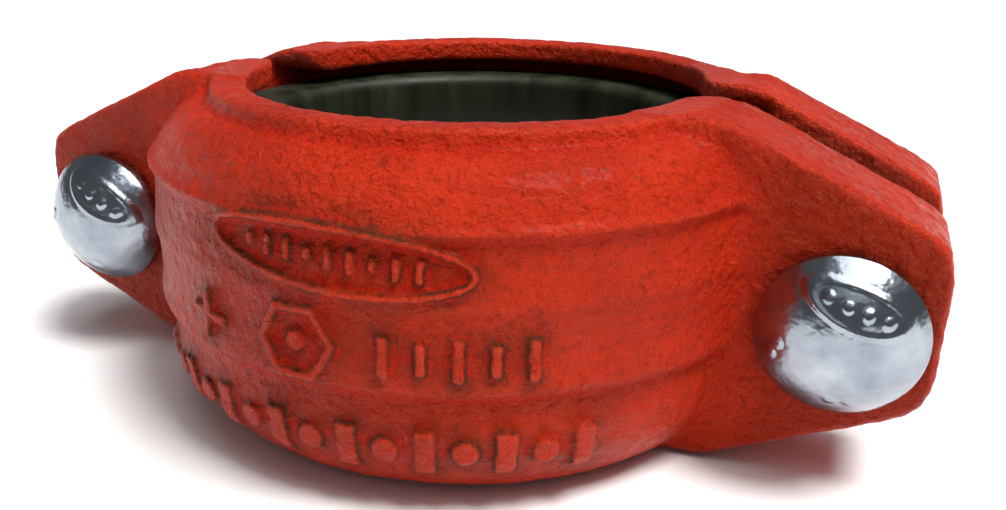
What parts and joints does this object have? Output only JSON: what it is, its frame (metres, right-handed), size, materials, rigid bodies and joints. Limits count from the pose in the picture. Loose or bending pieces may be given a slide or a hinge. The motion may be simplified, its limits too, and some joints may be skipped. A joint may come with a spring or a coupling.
{
  "type": "grooved pipe coupling",
  "caption": "Two-piece cast clamp housing with a rubber seal ring inside, drawn together by track bolts to join two grooved pipe ends.",
  "frame": {"origin": "on the pipe axis, midway between the two end faces and midway between the two housing halves at rest", "axes": "+X along the line through both bolts, +Y along the bolts from their heads to their nuts, +Z along the pipe"},
  "size_m": [0.1232, 0.0928, 0.042],
  "materials": {
    "red_paint": "semi-gloss paint over rough sand-cast ductile iron",
    "rubber": "matt moulded rubber",
    "zinc_plate": "bright zinc plate"
  },
  "bodies": {
    "front_half": {"front_housing": "red_paint"},
    "rear_half": {"rear_housing": "red_paint"},
    "seal": {"gasket": "rubber"},
    "left_bolt_body": {"left_bolt": "zinc_plate"},
    "right_bolt_body": {"right_bolt": "zinc_plate"},
    "left_nut_body": {"left_nut": "zinc_plate"},
    "right_nut_body": {"right_nut": "zinc_plate"}
  },
  "joints": [
    {"name": "halves_gap", "type": "slide", "parent": "front_half", "child": "rear_half", "axis": [0, 1, 0], "range_m": [-0.0072, 0.0072]},
    {"name": "gasket_float", "type": "slide", "parent": "front_half", "child": "seal", "axis": [0, 1, 0], "range_m": [-0.0037, 0.0037]},
    {"name": "left_nut_turn", "type": "hinge", "parent": "rear_half", "child": "left_nut_body", "pos_m": [-0.051, 0.019, -0.0012], "axis": [0, 1, 0], "continuous": true},
    {"name": "right_nut_turn", "type": "hinge", "parent": "rear_half", "child": "right_nut_body", "pos_m": [0.051, 0.019, -0.0012], "axis": [0, 1, 0], "continuous": true},
    {"name": "left_bolt_draw", "type": "slide", "parent": "front_half", "child": "left_bolt_body", "axis": [0, -1, 0], "range_m": [0, 0.056]},
    {"name": "right_bolt_draw", "type": "slide", "parent": "front_half", "child": "right_bolt_body", "axis": [0, -1, 0], "range_m": [0, 0.056]}
  ],
  "couplings": [
    {"joint": "gasket_float", "follows": "halves_gap", "ratio": 0.5},
    {"joint": "left_nut_turn", "follows": "halves_gap", "rad_per_m": 4188.8},
    {"joint": "right_nut_turn", "follows": "halves_gap", "rad_per_m": 4188.8}
  ]
}
